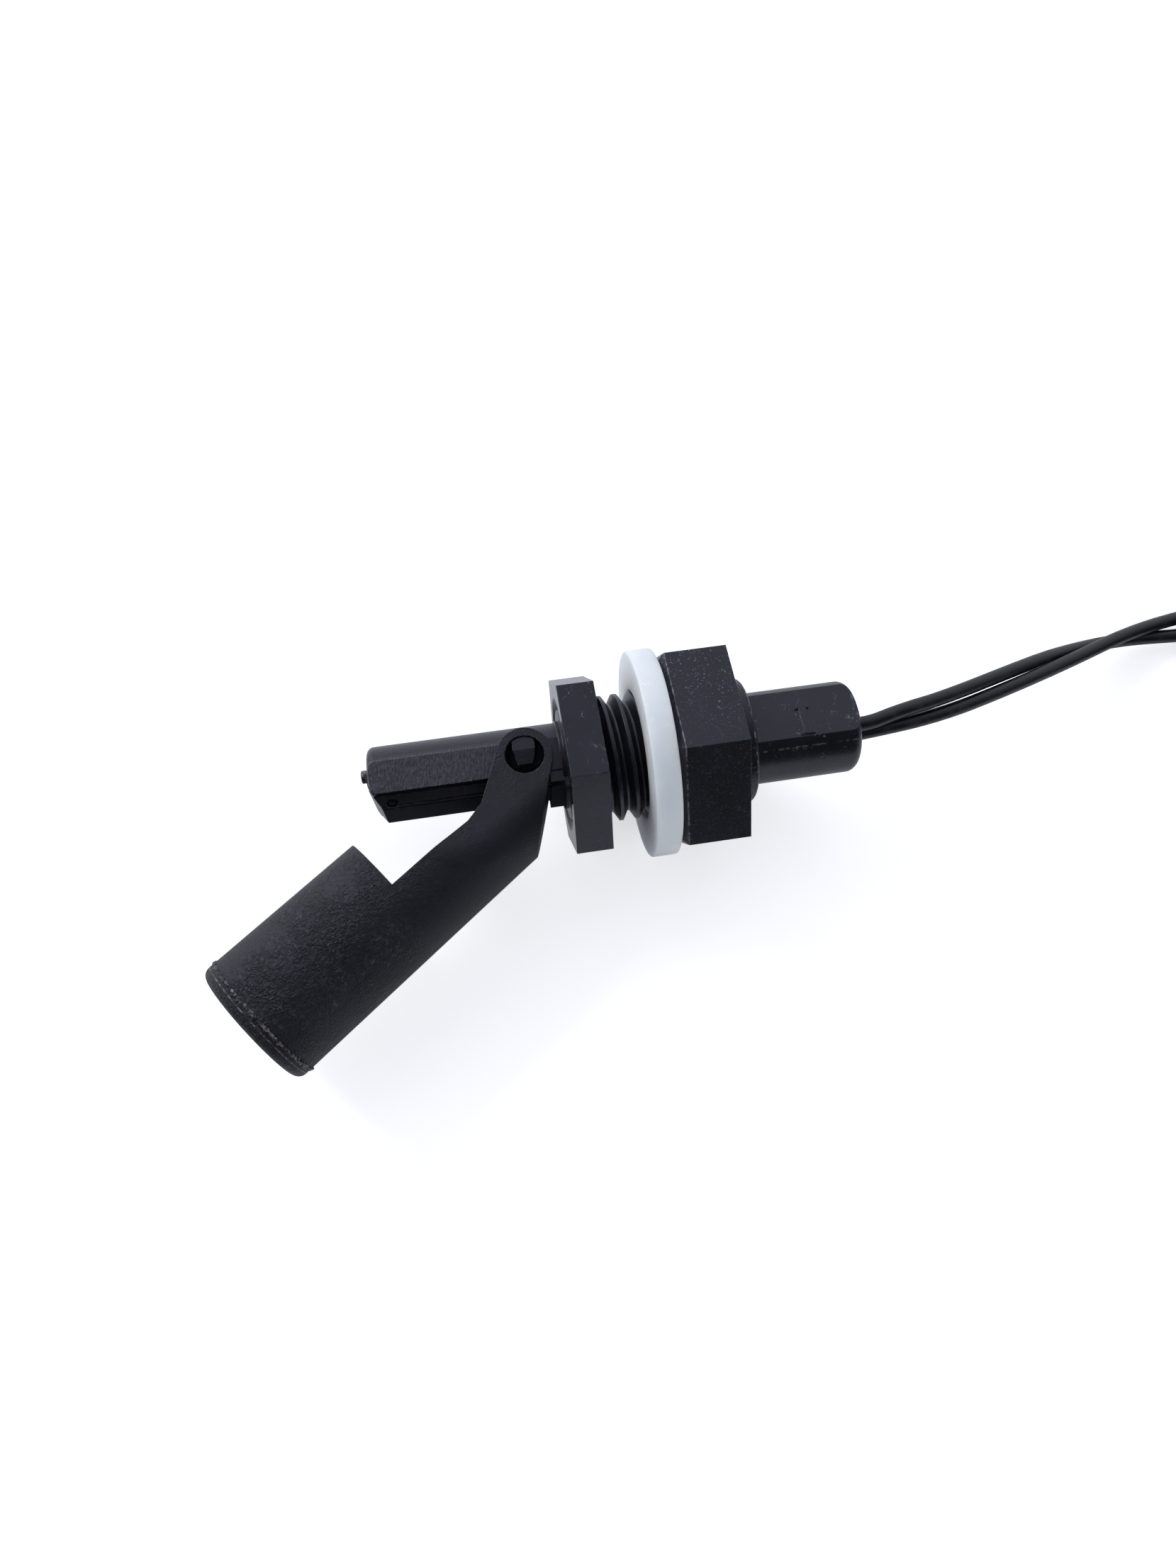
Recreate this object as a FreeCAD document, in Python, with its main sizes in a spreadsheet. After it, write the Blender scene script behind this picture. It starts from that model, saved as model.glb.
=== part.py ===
"""Side-mounted float level switch, modelled lying with its hinge axis upright.

X runs along the threaded body, with the tail and its leads at +X and the float at -X. Z is the axis
of the float's hinge. The origin is on the thread's axis, at the face of the hexagonal flange that
the sealing washer and the tank wall press against. All sizes are millimetres and degrees.
"""

import FreeCAD, Part
import Sketcher

import math
import os

from FreeCAD import Placement, Rotation, Vector

doc = FreeCAD.newDocument("float_level_switch")
os.makedirs("parts", exist_ok=True)

# ---------------------------------------------------------------- driving dimensions

DIMENSIONS = {
    # threaded body
    "thread_radius": (7.9, "crest radius of the M16 thread"),
    "thread_pitch": (2.0, "thread pitch"),
    "thread_depth": (1.15, "crest to root"),
    "thread_length": (12.5, "from the flange face to the free end"),
    "flange_across": (23.3, "hexagon across flats"),
    "flange_thick": (8.4, "hexagon along the axis"),
    "flange_roll": (17.7, "turn of a hexagon corner away from the hinge axis"),
    "flange_edge": (0.8, "chamfer of the hexagon's sealing edges"),
    "collar_radius": (7.6, "round shoulder behind the hexagon"),
    "collar_length": (1.3, "length of that shoulder"),
    "tail_radius": (5.8, "cable tail"),
    "tail_end": (24.4, "station of the tail's end face"),
    "tail_edge": (1.4, "rounding of the tail's end"),
    "tail_flat": (4.72, "height of the tail's flat over the axis"),
    "arrow_length": (5.0, "moulded arrow on that flat"),
    "arrow_width": (0.9, "width of its shaft"),
    "arrow_place": (17.4, "station of the arrow"),
    "relief": (0.25, "height of the moulded arrow"),
    # stem
    "stem_radius": (5.3, "round back of the stem"),
    "stem_flat": (4.9, "half width over the stem's two flats"),
    "stem_end": (36.2, "distance of the stem's end from the flange face"),
    "stem_edge": (0.9, "rounding of the stem's end"),
    "ledge_top": (2.0, "where the flats stop under the axis"),
    "ledge_side": (3.85, "half width of the ledge under the flats"),
    "keel_side": (2.9, "half width of the keel"),
    "keel_top": (3.2, "where the keel starts under the axis"),
    "keel_bottom": (3.55, "underside of the keel"),
    "heel_rise": (1.4, "where the heel's slope starts under the axis"),
    "heel_run": (1.3, "how far the heel's slope takes the keel back"),
    "root_length": (2.1, "full-width block between the keel and the thread"),
    "root_side": (4.6, "its half width"),
    "root_bottom": (4.05, "its underside"),
    "nub_radius": (0.9, "gate mark on the stem's end"),
    "nub_length": (0.5, "its height"),
    "nub_rise": (1.2, "gate mark over the axis"),
    # hinge
    "hinge_place": (17.3, "distance of the hinge from the flange face"),
    "peg_radius": (2.3, "hinge pegs moulded on the stem"),
    "peg_round": (0.55, "full round height of a peg over the flat"),
    "peg_height": (1.05, "height of a peg over the flat"),
    "peg_wedge": (2.7, "width of the peg's snap end"),
    "swing": (34.85, "droop of the float as it hangs"),
    "hinge_gap": (0.07, "radial clearance in the hinge holes"),
    "side_gap": (0.15, "clearance between stem and ears"),
    # float
    "float_radius": (7.86, "radius of the float beside the hinge"),
    "seam_radius": (8.28, "radius of the float at the welded seam"),
    "float_offset": (1.2, "float axis below the hinge"),
    "cap_thick": (1.7, "the cap outside the seam"),
    "seam_place": (42.5, "hinge to the welded seam"),
    "shoulder_place": (21.9, "hinge to the float's shoulder"),
    "arm_top": (1.6, "top of the arm under the hinge"),
    "ear_radius": (3.35, "round head of an ear"),
    "ear_thick": (1.15, "thickness of an ear"),
    "ear_reach": (9.0, "where the ears run into the arm"),
    "swell_start": (3.5, "hinge to where the ears start to swell"),
    "swell_length": (15.0, "length of that swell"),
    "swell_radius": (40.0, "its curve, seen from above the stem"),
    "swell_blend": (5.0, "rounding where the swell meets the round body"),
    "arm_end": (6.6, "hinge to the lower corner of the arm"),
    "ear_lower": (-52, "where the arm's end leaves the ear's head"),
    "ear_upper": (122, "where the arm's top leaves the ear's head"),
    "wall": (1.3, "wall of the hollow float"),
    "stop_gap": (0.12, "clearance of the stops at both ends of the swing"),
    "magnet_radius": (4.2, "magnet disc"),
    "magnet_length": (5.0, "magnet thickness"),
    "cap_lip": (2.2, "depth of the cap's plug inside the float"),
    # nut and washer
    "nut_across": (20.5, "nut across flats"),
    "nut_thick": (4.5, "nut thickness"),
    "nut_place": (12.6, "distance of the nut's far face from the flange face"),
    "nut_roll": (25.1, "turn of a nut corner away from the hinge axis"),
    "nut_edge": (0.5, "chamfer of the nut's bore"),
    "thread_gap": (0.08, "radial clearance on the thread crests"),
    "washer_margin": (0.452, "sealing washer inside the circle through the hexagon's corners"),
    "washer_bore": (8.35, "sealing washer inside"),
    "washer_thick": (3.2, "washer thickness"),
    "washer_edge": (0.35, "rounding of the washer's rims"),
    # inside
    "bore_radius": (2.6, "reed chamber along the stem"),
    "bore_end": (34.9, "blind end of the reed chamber"),
    "cup_radius": (3.4, "potting cup in the tail"),
    "cup_place": (10.0, "station of the cup's bottom"),
    "potting_start": (-6.0, "station where the potting starts"),
    "potting_sink": (0.4, "potting below the tail's end"),
    "reed_height": (0.35, "reed axis over the body axis"),
    "glass_radius": (1.1, "glass capsule"),
    "glass_wall": (0.3, "its wall"),
    "glass_start": (33.2, "far end of the capsule"),
    "glass_end": (20.2, "near end of the capsule"),
    "blade_width": (1.0, "reed blade"),
    "blade_thick": (0.2, "its thickness"),
    "blade_gap": (0.1, "open contact gap"),
    "contact_place": (26.7, "middle of the contact overlap"),
    "contact_lap": (0.8, "length of the contact overlap"),
    "blade_lead": (0.28, "radius of the blade leads"),
    "return_radius": (0.25, "return wire"),
    "return_height": (-1.35, "return wire against the body axis"),
    "sleeve_radius": (0.42, "insulating sleeve on the return wire"),
    "joint_radius": (0.6, "solder joints"),
    "joint_start": (11.2, "station where the leads are soldered"),
    "lead_start": (14.0, "station where the lead insulation starts"),
    # leads
    "lead_radius": (0.95, "lead insulation"),
    "lead_a_height": (0.5, "first lead against the body axis"),
    "lead_b_height": (-1.45, "second lead against the body axis"),
    "tip_radius": (0.42, "tinned strands"),
    "tip_length": (6.0, "stripped length"),
    "floor": (-13.0, "the surface that the switch lies on"),
    "coil_radius": (9.5, "mid turn of the spare lead coil"),
    "coil_width": (6.1, "width of the bundle"),
    "coil_height": (7.9, "height of the bundle"),
    "coil_x": (94.0, "centre of the coil along the body"),
    "coil_y": (2.0, "centre of the coil across it"),
}

sheet = doc.addObject("Spreadsheet::Sheet", "Size")
for row, (alias, (number, meaning)) in enumerate(DIMENSIONS.items(), start=1):
    sheet.set(f"A{row}", meaning)
    sheet.set(f"B{row}", str(number))
    sheet.setAlias(f"B{row}", alias)
doc.recompute()


def formula(text):
    """The text with every dimension's name pointing at its cell of the sheet."""
    words = []
    word = ""
    for letter in str(text) + " ":
        if letter.isalnum() or letter == "_":
            word += letter
            continue
        words.append(f"Size.{word}" if word in DIMENSIONS else word)
        words.append(letter)
        word = ""
    return "".join(words).strip()


def number(text):
    """The value that a formula has now."""
    result = sheet.evalExpression(formula(text))
    return float(getattr(result, "Value", result))


# ---------------------------------------------------------------- building blocks

UPRIGHT = Rotation()
ALONG_X = Rotation(Vector(0, 1, 0), 90)
# An outline drawn as (y, z) and pushed along X.
ALONG_BODY = Rotation(Vector(0, 1, 0), Vector(0, 0, 1), Vector(1, 0, 0), "ZXY")
# An outline drawn as (x, z) and pushed along -Y.
SEEN_FROM_SIDE = Rotation(Vector(1, 0, 0), 90)


def bind(thing, **sizes):
    """Ties properties of an object to formulas of the sheet."""
    for name, text in sizes.items():
        thing.setExpression(name, formula(text))
    return thing


def put(thing, x="0", y="0", z="0", turn=UPRIGHT):
    """Places an object by formulas, turned first."""
    thing.Placement = Placement(Vector(number(x), number(y), number(z)), turn)
    for axis, text in (("x", x), ("y", y), ("z", z)):
        thing.setExpression(f"Placement.Base.{axis}", formula(text))
    return thing


def rod(name, radius, length, x="0", y="0", z="0", turn=ALONG_X):
    """A cylinder, along X unless it is turned another way."""
    thing = doc.addObject("Part::Cylinder", name)
    bind(thing, Radius=radius, Height=length)
    return put(thing, x, y, z, turn)


def block(name, size, x="0", y="0", z="0", turn=UPRIGHT):
    """A box from its lowest corner."""
    thing = doc.addObject("Part::Box", name)
    bind(thing, Length=size[0], Width=size[1], Height=size[2])
    return put(thing, x, y, z, turn)


def hexagon(name, across, length, x, roll):
    """A hexagonal prism along X, with a corner turned from +Z by the roll towards -Y."""
    thing = doc.addObject("Part::Prism", name)
    thing.Polygon = 6
    bind(thing, Circumradius=f"{across} / 2 / cos(30)", Height=length)
    return put(thing, x, turn=Rotation(Vector(1, 0, 0), number(roll)) * ALONG_X)


def fuse(name, *pieces):
    """One solid of several."""
    thing = doc.addObject("Part::MultiFuse", name)
    thing.Shapes = list(pieces)
    thing.Refine = True
    return thing


def common(name, *pieces):
    """What several solids share."""
    thing = doc.addObject("Part::MultiCommon", name)
    thing.Shapes = list(pieces)
    return thing


def cut(name, base, *tools):
    """A solid less one or more others."""
    thing = doc.addObject("Part::Cut", name)
    thing.Base = base
    thing.Tool = tools[0] if len(tools) == 1 else fuse(name + "_tools", *tools)
    return thing


def solid(name, shape):
    """A shape made by a formula of its own."""
    thing = doc.addObject("Part::Feature", name)
    thing.Shape = shape
    return thing


def eased(name, base, size, keep, kind="Fillet"):
    """Rounds or chamfers the edges of a base that the test keeps."""
    doc.recompute()
    thing = doc.addObject("Part::" + kind, name)
    thing.Base = base
    amount = number(size)
    edges = enumerate(base.Shape.Edges, start=1)
    thing.Edges = [(place, amount, amount) for place, edge in edges if keep(edge)]
    return thing


def at_station(x):
    """A test for edges that lie in the plane across X at a station."""
    def test(edge):
        box = edge.BoundBox
        return abs(box.XMin - x) < 1e-4 and abs(box.XMax - x) < 1e-4

    return test


def arc_of(start, end, radius):
    """The short arc between two points; a positive radius turns left, a negative one right."""
    chord = end - start
    half = chord.Length / 2
    side = Vector(-chord.y, chord.x, 0).normalize()
    rise = math.sqrt(max(radius * radius - half * half, 0)) * math.copysign(1, radius)
    centre = (start + end) * 0.5 + side * rise
    circle = Part.Circle(centre, Vector(0, 0, 1), abs(radius))
    first, last = (start, end) if radius > 0 else (end, start)
    return Part.ArcOfCircle(circle, circle.parameter(first), circle.parameter(last))


def outline(owner, name, corners):
    """A closed sketch through corners (x, y) or (x, y, radius of the arc to the next corner)."""
    if owner is doc:
        sketch = doc.addObject("Sketcher::SketchObject", name)
    else:
        sketch = owner.newObject("Sketcher::SketchObject", name)
    points = [Vector(number(c[0]), number(c[1]), 0) for c in corners]
    ends = []
    for place, corner in enumerate(corners):
        start, end = points[place], points[(place + 1) % len(points)]
        if len(corner) == 3:
            radius = number(corner[2])
            item = sketch.addGeometry(arc_of(start, end, radius))
            ends.append((item, 1, 2) if radius > 0 else (item, 2, 1))
            rule = sketch.addConstraint(Sketcher.Constraint("Radius", item, abs(radius)))
            sketch.setExpression(f"Constraints[{rule}]", formula(f"abs({corner[2]})"))
        else:
            item = sketch.addGeometry(Part.LineSegment(start, end))
            ends.append((item, 1, 2))
    for place, corner in enumerate(corners):
        item, first, _ = ends[place]
        before, _, last = ends[place - 1]
        sketch.addConstraint(Sketcher.Constraint("Coincident", before, last, item, first))
        for kind, size, text in (
            ("DistanceX", points[place].x, corner[0]),
            ("DistanceY", points[place].y, corner[1]),
        ):
            rule = sketch.addConstraint(Sketcher.Constraint(kind, -1, 1, item, first, size))
            sketch.setExpression(f"Constraints[{rule}]", formula(text))
    return sketch


def plate(name, corners, length, turn, x="0", y="0", z="0", both=False):
    """An outline pushed out along its own normal."""
    sketch = put(outline(doc, name + "_outline", corners), x, y, z, turn)
    thing = doc.addObject("Part::Extrusion", name)
    thing.Base = sketch
    thing.DirMode = "Normal"
    thing.Solid = True
    thing.Symmetric = both
    return bind(thing, LengthFwd=length)


def plane_of(body, role):
    """One of a body's own origin planes."""
    return next(f for f in body.Origin.OriginFeatures if f.Role == role)


def turned(name, corners, turn=UPRIGHT, x="0", y="0", z="0"):
    """A body turned about its own X from a half outline (station, radius)."""
    body = doc.addObject("PartDesign::Body", name)
    sketch = outline(body, name + "_half", corners)
    sketch.AttachmentSupport = [(plane_of(body, "XY_Plane"), "")]
    sketch.MapMode = "FlatFace"
    spin = body.newObject("PartDesign::Revolution", name + "_turn")
    spin.Profile = sketch
    spin.ReferenceAxis = (sketch, ["H_Axis"])
    spin.Angle = 360
    return put(body, x, y, z, turn)


# ---------------------------------------------------------------- threaded body with its stem


def thread_groove():
    """The V groove of the thread: one sweep along a helix, open at the free end."""
    crest, pitch, depth = number("thread_radius"), number("thread_pitch"), number("thread_depth")
    runout = number("flange_edge") + pitch / 2
    length = number("thread_length") + pitch - runout
    over = 0.15
    half = (depth + over) * math.tan(math.radians(30)) + pitch / 16
    corners = [
        Vector(crest - depth, 0, -pitch / 16),
        Vector(crest + over, 0, -half),
        Vector(crest + over, 0, half),
        Vector(crest - depth, 0, pitch / 16),
    ]
    tooth = Part.makePolygon(corners + corners[:1])
    helix = Part.makeHelix(pitch, length, crest)
    groove = Part.Wire(helix.Edges).makePipeShell([tooth], True, True)
    if groove.Volume < 0:
        groove.reverse()
    groove.Placement = Placement(Vector(-runout, 0, 0), Rotation(Vector(0, 1, 0), -90))
    return groove


def stem():
    """The stem: a round back, two flats for the ears, and a stepped keel under them."""
    arc_end = "sqrt(stem_radius^2 - stem_flat^2)"
    right = [
        ("-ledge_top", "stem_flat"),
        ("-ledge_top - nub_length / 4", "ledge_side"),
        ("-keel_top", "keel_side + nub_length"),
        ("-keel_top", "keel_side"),
        ("-keel_bottom", "keel_side"),
    ]
    left = [(y, f"-({z})") for y, z in reversed(right)]
    section = [(arc_end, "-stem_flat", "stem_radius"), (arc_end, "stem_flat")] + right + left
    bar = plate("stem_bar", section, "stem_end - 2", ALONG_BODY, x="-stem_end")
    envelope = turned(
        "stem_envelope",
        [
            ("0", "0"),
            ("stem_end", "0"),
            ("stem_end", "stem_radius"),
            ("stem_edge", "stem_radius", "stem_edge"),
            ("0", "stem_radius - stem_edge"),
        ],
        x="-stem_end",
    )
    heel = [
        ("-heel_run", "-heel_rise"),
        ("-heel_run", "heel_rise - 2 * keel_bottom"),
        ("2 * heel_run", "heel_rise - 2 * keel_bottom"),
        ("0", "-heel_rise"),
    ]
    heel_cut = plate("stem_heel", heel, "4 * stem_flat", UPRIGHT, x="-stem_end", both=True)
    root = block(
        "stem_root",
        ("root_length", "root_bottom", "2 * root_side"),
        x="-thread_length - root_length",
        y="-root_bottom",
        z="-root_side",
    )
    mark = doc.addObject("Part::Ellipsoid", "ledge_pocket")
    bind(mark, Radius1="keel_side / 4", Radius2="keel_side / 3.4", Radius3="keel_side / 6")
    put(mark, "2.5 - stem_end", "-keel_top + 0.35", "(keel_side + ledge_side) / 2 - 0.2")
    return [cut("stem", common("stem_rounded", bar, envelope), heel_cut, mark), root]


def peg():
    """A hinge peg over the upper flat: round at its root, a sloped snap wedge at its end."""
    top = "stem_flat + peg_height"
    post = rod("peg_post", "peg_radius", "peg_height + 1", z="stem_flat - 1", turn=UPRIGHT)
    slope = [
        ("peg_radius * 0.3", top),
        ("-peg_radius - 0.1", "stem_flat + peg_round / 2"),
        ("-peg_radius - 0.1", top + " + 0.1"),
        ("peg_radius * 0.3", top + " + 0.1"),
    ]
    slope_cut = plate("peg_slope", slope, "3 * peg_radius", ALONG_BODY, x="-1.5 * peg_radius")
    sides = []
    for side, way in (("right", 1), ("left", -1)):
        beside = [
            (f"{way} * peg_wedge / 2", "1.5 * peg_radius"),
            (f"{way} * peg_wedge / 2", "peg_radius / 3"),
            (f"{way} * peg_wedge / 12", "-1.5 * peg_radius"),
            (f"{way} * 2 * peg_radius", "-1.5 * peg_radius"),
            (f"{way} * 2 * peg_radius", "1.5 * peg_radius"),
        ]
        height = "stem_flat + peg_round"
        sides.append(plate(f"peg_{side}", beside, "peg_height", UPRIGHT, z=height))
    return put(cut("peg", post, slope_cut, *sides), x="-hinge_place")


def mirrored(name, source):
    """The same piece on the other side of the XY plane."""
    thing = doc.addObject("Part::Mirroring", name)
    thing.Source = source
    thing.Normal = Vector(0, 0, 1)
    return thing


# The tail's flat is parallel to a side of the hexagon.
FLAT_TURN = number("flange_roll") - 30
ON_FLAT = Rotation(Vector(1, 0, 0), FLAT_TURN)


def arrow():
    """A raised arrow across the tail's flat, with a bar at its foot."""
    half, tip = "arrow_width / 2", "arrow_length - 3.1"
    neck = f"({tip}) - 1.5 * arrow_width"
    shaft = [
        (f"-{half}", "-3.1"),
        (half, "-3.1"),
        (half, neck),
        ("arrow_width", neck),
        ("0", tip),
        ("-arrow_width", neck),
        (f"-{half}", neck),
    ]
    bar = [
        ("-arrow_width", "-3.1"),
        ("arrow_width", "-3.1"),
        ("arrow_width", "-2.75"),
        ("-arrow_width", "-2.75"),
    ]
    turn = "(flange_roll - 30)"
    place = {
        "x": "arrow_place",
        "y": f"-(tail_flat - relief) * sin({turn})",
        "z": f"(tail_flat - relief) * cos({turn})",
    }
    return [
        plate("arrow_shaft", shaft, "2 * relief", ON_FLAT, **place),
        plate("arrow_bar", bar, "2 * relief", ON_FLAT, **place),
    ]


def switch_body():
    """Stem, thread, flange, collar and tail as one moulding, bored for the reed and its potting."""
    flange = hexagon("flange_hexagon", "flange_across", "flange_thick", "0", "flange_roll")
    flange = eased("flange", flange, "flange_edge", at_station(0), "Chamfer")
    collar = rod("collar", "collar_radius", "collar_length + 1", x="flange_thick - 1")
    tail = rod("tail_post", "tail_radius", "tail_end - 2", x="2")
    tail = eased("tail_rounded", tail, "tail_edge", at_station(number("tail_end")))
    flat = [
        ("-tail_radius", "tail_flat"),
        ("tail_radius", "tail_flat"),
        ("tail_radius", "tail_radius + 1"),
        ("-tail_radius", "tail_radius + 1"),
    ]
    flat_cut = plate(
        "tail_flat",
        flat,
        "tail_end",
        ON_FLAT * ALONG_BODY,
        x="flange_thick + collar_length",
    )
    tail = cut("tail", tail, flat_cut)
    thread = rod("thread_post", "thread_radius", "thread_length + 1", x="-thread_length")
    end = at_station(-number("thread_length"))
    thread = eased("thread", thread, "thread_depth", end, "Chamfer")
    neck = rod("neck", "stem_radius + 0.2", "2", x="-thread_length - 0.5")
    gate = rod(
        "gate_mark",
        "nub_radius",
        "2 * nub_length",
        x="-stem_end - nub_length",
        y="nub_rise",
    )
    upper_peg = peg()
    lower_peg = mirrored("lower_peg", upper_peg)
    pieces = [*stem(), neck, thread, flange, collar, tail, gate, upper_peg, lower_peg]
    moulding = fuse("moulding", *pieces, *arrow())
    chamber = rod("reed_chamber", "bore_radius", "bore_end + tail_end", x="-bore_end")
    cup = rod("potting_cup", "cup_radius", "tail_end", x="cup_place")
    bored = cut("bored_moulding", moulding, chamber, cup)
    return cut("switch_body", bored, solid("thread_groove", thread_groove()))


# ---------------------------------------------------------------- nut and washer


def lock_nut():
    """A plain hexagon nut, bored to run on the thread's crests."""
    body = doc.addObject("PartDesign::Body", "lock_nut")
    side = plane_of(body, "YZ_Plane")
    reach = "nut_across / 2 / cos(30)"
    corners = [
        (f"{reach} * cos({90 + 60 * k} + nut_roll)", f"{reach} * sin({90 + 60 * k} + nut_roll)")
        for k in range(6)
    ]
    hexagon_sketch = outline(body, "nut_hexagon", corners)
    pad = body.newObject("PartDesign::Pad", "nut_pad")
    pad.Profile = hexagon_sketch
    bore_sketch = circle(body, "nut_bore", "thread_radius + thread_gap")
    bore = body.newObject("PartDesign::Pocket", "nut_pocket")
    bore.Profile = bore_sketch
    bore.Type = "ThroughAll"
    bore.Midplane = True
    for sketch in (hexagon_sketch, bore_sketch):
        sketch.AttachmentSupport = [(side, "")]
        sketch.MapMode = "FlatFace"
    bind(pad, Length="nut_thick")
    doc.recompute()
    radius = number("thread_radius + thread_gap")
    rims = [
        f"Edge{place}"
        for place, edge in enumerate(bore.Shape.Edges, start=1)
        if isinstance(edge.Curve, Part.Circle) and abs(edge.Curve.Radius - radius) < 1e-4
    ]
    chamfer = body.newObject("PartDesign::Chamfer", "nut_chamfer")
    chamfer.Base = (bore, rims)
    bind(chamfer, Size="nut_edge")
    return put(body, x="-nut_place")


def circle(owner, name, radius):
    """A sketch of one circle round the origin."""
    sketch = owner.newObject("Sketcher::SketchObject", name)
    item = sketch.addGeometry(Part.Circle(Vector(), Vector(0, 0, 1), number(radius)))
    sketch.addConstraint(Sketcher.Constraint("Coincident", item, 3, -1, 1))
    rule = sketch.addConstraint(Sketcher.Constraint("Radius", item, number(radius)))
    sketch.setExpression(f"Constraints[{rule}]", formula(radius))
    return sketch


def sealing_washer():
    """A soft ring with rounded rims, flat against the flange."""
    outside, edge = "(flange_across / 2 / cos(30) - washer_margin)", "washer_edge"
    return turned(
        "sealing_washer",
        [
            ("0", "washer_bore"),
            ("washer_thick", "washer_bore"),
            ("washer_thick", f"{outside} - {edge}", edge),
            (f"washer_thick - {edge}", outside),
            (edge, outside, edge),
            ("0", f"{outside} - {edge}"),
        ],
        x="-washer_thick",
    )


# ---------------------------------------------------------------- float


def float_radius(place):
    """The float's outside radius at a distance from the hinge."""
    return f"(float_radius + (seam_radius - float_radius) * ({place}) / seam_place)"


def float_cone(name, start, end, less="0"):
    """A length of the float's slightly conical body, drawn in line with the stem."""
    thing = doc.addObject("Part::Cone", name)
    bind(
        thing,
        Radius1=f"{float_radius(start)} - ({less})",
        Radius2=f"{float_radius(end)} - ({less})",
        Height=f"({end}) - ({start})",
    )
    # The cone's seam is turned away from the ears' swell, down to the float's underside.
    turn = Rotation(Vector(1, 0, 0), 90) * Rotation(Vector(0, 1, 0), -90)
    return put(thing, x=f"-({start})", y="-float_offset", turn=turn)


def float_side():
    """The float seen along the hinge: the round ears, the arm, the shoulder and the body."""
    return [
        ("ear_radius * cos(ear_lower)", "ear_radius * sin(ear_lower)", "ear_radius"),
        ("ear_radius * cos(ear_upper)", "ear_radius * sin(ear_upper)"),
        ("1.1 - ear_reach", "0.6 - arm_top"),
        ("-ear_reach - 1.5", "-arm_top"),
        ("-shoulder_place", "-arm_top"),
        ("-shoulder_place", "2 * float_radius"),
        ("-seam_place", "2 * float_radius"),
        ("-seam_place", "-2 * float_radius"),
        ("-arm_end - 4", "-2 * float_radius"),
        ("-arm_end", "-float_offset - float_radius - 0.2"),
    ]


def float_top():
    """The float seen from above the stem: flat ears that swell in one arc into the round body."""
    ear = "stem_flat + side_gap + ear_thick"
    full = f"{ear} + swell_radius - sqrt(swell_radius^2 - swell_length^2)"
    swell = "-swell_radius"
    return [
        ("ear_radius + 1", ear),
        ("-swell_start", ear, swell),
        ("-swell_start - swell_length", full),
        ("-seam_place - 1", full),
        ("-seam_place - 1", f"-({full})"),
        ("-swell_start - swell_length", f"-({full})", swell),
        ("-swell_start", f"-({ear})"),
        ("ear_radius + 1", f"-({ear})"),
    ]


def channel(name, turn):
    """The room that the stem takes between the ears, in line or at the end of the droop."""
    under = "keel_bottom + stop_gap"
    length = "stem_end - hinge_place + nub_length + 0.6"
    side = "stem_flat + side_gap"
    room = [
        (f"-({length})", f"-({under})"),
        ("3 * ear_radius", f"-({under})"),
        ("3 * ear_radius", "3 * ear_radius"),
        (f"-({length})", "3 * ear_radius"),
    ]
    return plate(name, room, f"2 * ({side})", turn, both=True)


def swell_crease(edge):
    """A test for the edges where the flat of the ears and its swell run into the round body."""
    box = edge.BoundBox
    one_side = box.ZMin * box.ZMax > 0 and min(abs(box.ZMin), abs(box.ZMax)) > number("stem_flat")
    return one_side and box.XLength > 1 and box.XMin > -number("shoulder_place")


def float_shell():
    """Ears, arm and the open end of the hollow float, moulded in one."""
    side = plate("float_side", float_side(), "4 * float_radius", UPRIGHT, both=True)
    top = plate("float_top", float_top(), "4 * float_radius", SEEN_FROM_SIDE, both=True)
    cone = float_cone("float_cone", "-ear_radius - 1", "seam_place")
    # The ears' heads stand out of the cone, so the ears get a block of their own.
    ear_block = block(
        "ear_block",
        ("ear_reach + ear_radius + 1", "2 * ear_radius + 1", "4 * ear_radius"),
        x="-ear_reach",
        y="-ear_radius",
        z="-2 * ear_radius",
    )
    round_body = common("float_flattened", top, cone)
    round_body = eased("float_blended", round_body, "swell_blend", swell_crease)
    ears = common("ear_stock", top, ear_block)
    outside = common("float_outside", side, fuse("float_stock", round_body, ears))
    swing = number("swing")
    hole_radius = "peg_radius + hinge_gap"
    hole = rod("ear_hole", hole_radius, "6 * peg_radius", z="-3 * peg_radius", turn=UPRIGHT)
    hollow_start = "shoulder_place + wall"
    hollow = float_cone("float_hollow", hollow_start, "seam_place + 1", less="wall")
    under = block(
        "arm_hollow",
        (
            "shoulder_place + 2 * wall - arm_end - 3 * wall",
            "float_offset + float_radius - keel_bottom - stop_gap - 2.4 * wall",
            "1.2 * float_radius",
        ),
        x="-shoulder_place - 2 * wall",
        y="-float_offset - float_radius + 1.4 * wall",
        z="-0.6 * float_radius",
    )
    shell = cut(
        "float_open",
        outside,
        channel("channel_in_line", UPRIGHT),
        channel("channel_drooped", Rotation(Vector(0, 0, 1), -swing)),
        hole,
        hollow,
        under,
    )
    socket = cut(
        "magnet_socket",
        rod("socket_ring", "magnet_radius + 0.9", "magnet_length", **magnet_place()),
        rod("socket_room", "magnet_radius + 0.05", "magnet_length + 2", **magnet_place()),
    )
    return fuse("float_shell", shell, socket)


def magnet_place():
    """Where the magnet lies against the inside of the shoulder."""
    return {"x": "-shoulder_place - wall - magnet_length", "y": "-float_offset"}


def float_magnet():
    """A disc magnet with broken edges, flat against the shoulder's inside."""
    edge = "magnet_length / 12"
    return turned(
        "float_magnet",
        [
            ("0", "0"),
            ("magnet_length", "0"),
            ("magnet_length", f"magnet_radius - {edge}"),
            (f"magnet_length - {edge}", "magnet_radius"),
            (edge, "magnet_radius"),
            ("0", f"magnet_radius - {edge}"),
        ],
        **magnet_place(),
    )


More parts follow.
